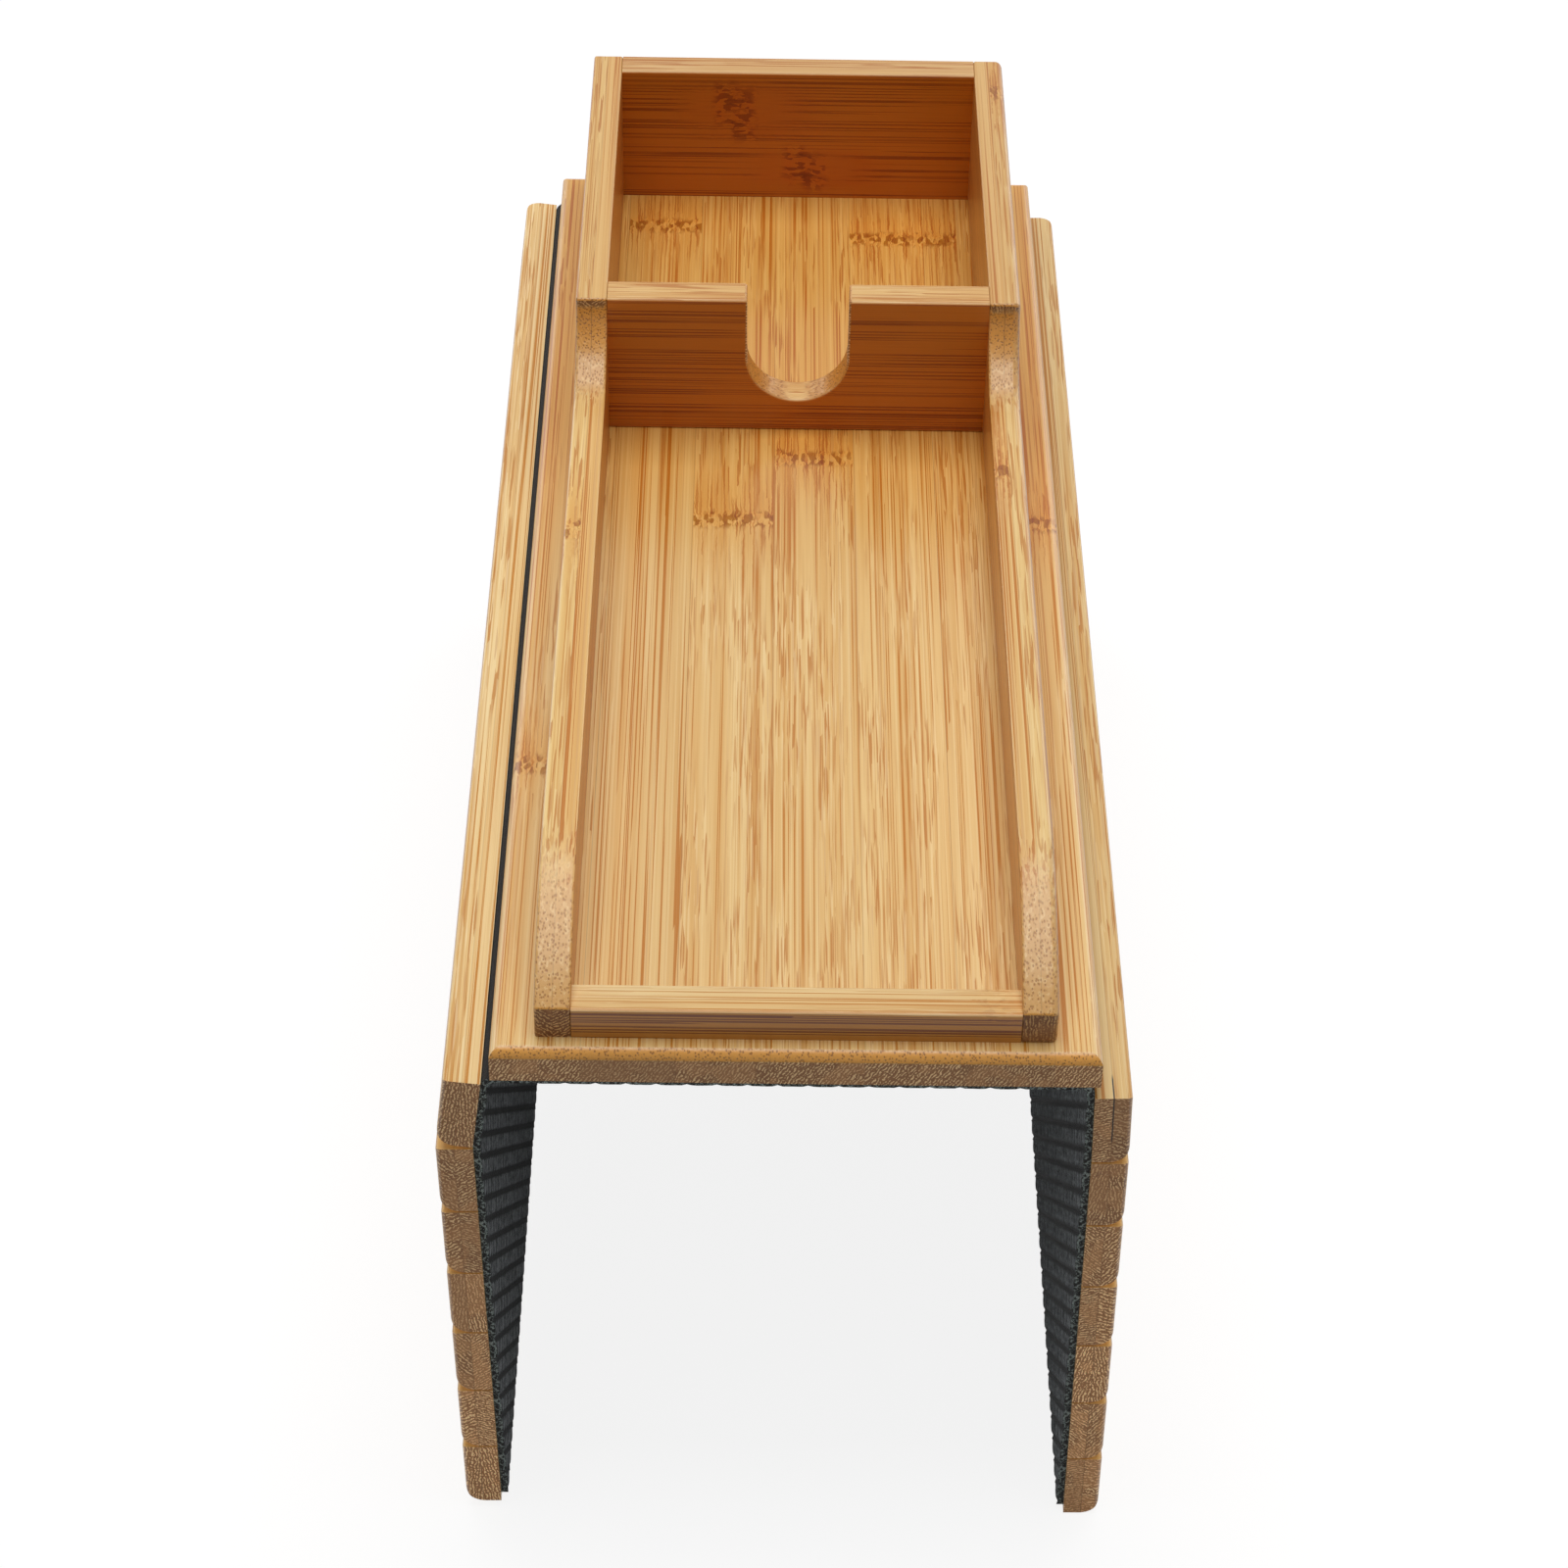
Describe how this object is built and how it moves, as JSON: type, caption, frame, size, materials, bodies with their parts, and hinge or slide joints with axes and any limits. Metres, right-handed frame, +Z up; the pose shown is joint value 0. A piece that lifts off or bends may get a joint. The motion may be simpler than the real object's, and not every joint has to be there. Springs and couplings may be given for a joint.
{
  "type": "sofa arm tray",
  "caption": "Bamboo tray that sits over a sofa arm, with an open compartment, a box with a mug handle slot, and hinged slat flaps on anti-slip fabric.",
  "frame": {"origin": "middle of the underside of the fabric under the board, where the tray sits on the top of the sofa arm", "axes": "+Z up, +Y from the low open front of the caddy to its box at the rear, +X to the right seen from the front"},
  "size_m": [0.1747, 0.4, 0.2192],
  "materials": {
    "bamboo": "satin clear lacquer over lengthwise bamboo strips",
    "fabric": "matte dark charcoal quilted anti-slip fabric"
  },
  "bodies": {
    "tray": {"base_board": "bamboo", "left_side_panel": "bamboo", "right_side_panel": "bamboo", "front_rail": "bamboo", "divider": "bamboo", "back_panel": "bamboo", "board_fabric": "fabric"},
    "left_flap_1": {"left_slat_1": "bamboo", "left_fabric_1": "fabric"},
    "left_flap_2": {"left_slat_2": "bamboo", "left_fabric_2": "fabric"},
    "left_flap_3": {"left_slat_3": "bamboo", "left_fabric_3": "fabric"},
    "left_flap_4": {"left_slat_4": "bamboo", "left_fabric_4": "fabric"},
    "left_flap_5": {"left_slat_5": "bamboo", "left_fabric_5": "fabric"},
    "left_flap_6": {"left_slat_6": "bamboo", "left_fabric_6": "fabric"},
    "left_flap_7": {"left_slat_7": "bamboo", "left_fabric_7": "fabric"},
    "right_flap_1": {"right_slat_1": "bamboo", "right_fabric_1": "fabric"},
    "right_flap_2": {"right_slat_2": "bamboo", "right_fabric_2": "fabric"},
    "right_flap_3": {"right_slat_3": "bamboo", "right_fabric_3": "fabric"},
    "right_flap_4": {"right_slat_4": "bamboo", "right_fabric_4": "fabric"},
    "right_flap_5": {"right_slat_5": "bamboo", "right_fabric_5": "fabric"},
    "right_flap_6": {"right_slat_6": "bamboo", "right_fabric_6": "fabric"},
    "right_flap_7": {"right_slat_7": "bamboo", "right_fabric_7": "fabric"}
  },
  "joints": [
    {"name": "left_hinge_1", "type": "hinge", "parent": "tray", "child": "left_flap_1", "pos_m": [-0.0762, 0, 0.001], "axis": [0, -1, 0], "range_deg": [-83, 60]},
    {"name": "left_hinge_2", "type": "hinge", "parent": "left_flap_1", "child": "left_flap_2", "pos_m": [-0.07905, 0, -0.02218], "axis": [0, 1, 0], "range_deg": [-36.9, 8.1]},
    {"name": "left_hinge_3", "type": "hinge", "parent": "left_flap_2", "child": "left_flap_3", "pos_m": [-0.0786, 0, -0.04517], "axis": [0, 1, 0], "range_deg": [-45, 0]},
    {"name": "left_hinge_4", "type": "hinge", "parent": "left_flap_3", "child": "left_flap_4", "pos_m": [-0.07816, 0, -0.06817], "axis": [0, 1, 0], "range_deg": [-45, 0]},
    {"name": "left_hinge_5", "type": "hinge", "parent": "left_flap_4", "child": "left_flap_5", "pos_m": [-0.07772, 0, -0.09116], "axis": [0, 1, 0], "range_deg": [-45, 0]},
    {"name": "left_hinge_6", "type": "hinge", "parent": "left_flap_5", "child": "left_flap_6", "pos_m": [-0.07728, 0, -0.11416], "axis": [0, 1, 0], "range_deg": [-45, 0]},
    {"name": "left_hinge_7", "type": "hinge", "parent": "left_flap_6", "child": "left_flap_7", "pos_m": [-0.07684, 0, -0.13715], "axis": [0, 1, 0], "range_deg": [-45, 0]},
    {"name": "right_hinge_1", "type": "hinge", "parent": "tray", "child": "right_flap_1", "pos_m": [0.0727, 0, 0.001], "axis": [0, -1, 0], "range_deg": [-60, 88.3]},
    {"name": "right_hinge_2", "type": "hinge", "parent": "right_flap_1", "child": "right_flap_2", "pos_m": [0.07346, 0, -0.02474], "axis": [0, 1, 0], "range_deg": [-1.1, 43.9]},
    {"name": "right_hinge_3", "type": "hinge", "parent": "right_flap_2", "child": "right_flap_3", "pos_m": [0.0737, 0, -0.04774], "axis": [0, 1, 0], "range_deg": [0, 45]},
    {"name": "right_hinge_4", "type": "hinge", "parent": "right_flap_3", "child": "right_flap_4", "pos_m": [0.07395, 0, -0.07074], "axis": [0, 1, 0], "range_deg": [0, 45]},
    {"name": "right_hinge_5", "type": "hinge", "parent": "right_flap_4", "child": "right_flap_5", "pos_m": [0.07419, 0, -0.09373], "axis": [0, 1, 0], "range_deg": [0, 45]},
    {"name": "right_hinge_6", "type": "hinge", "parent": "right_flap_5", "child": "right_flap_6", "pos_m": [0.07443, 0, -0.11673], "axis": [0, 1, 0], "range_deg": [0, 45]},
    {"name": "right_hinge_7", "type": "hinge", "parent": "right_flap_6", "child": "right_flap_7", "pos_m": [0.07467, 0, -0.13973], "axis": [0, 1, 0], "range_deg": [0, 45]}
  ]
}
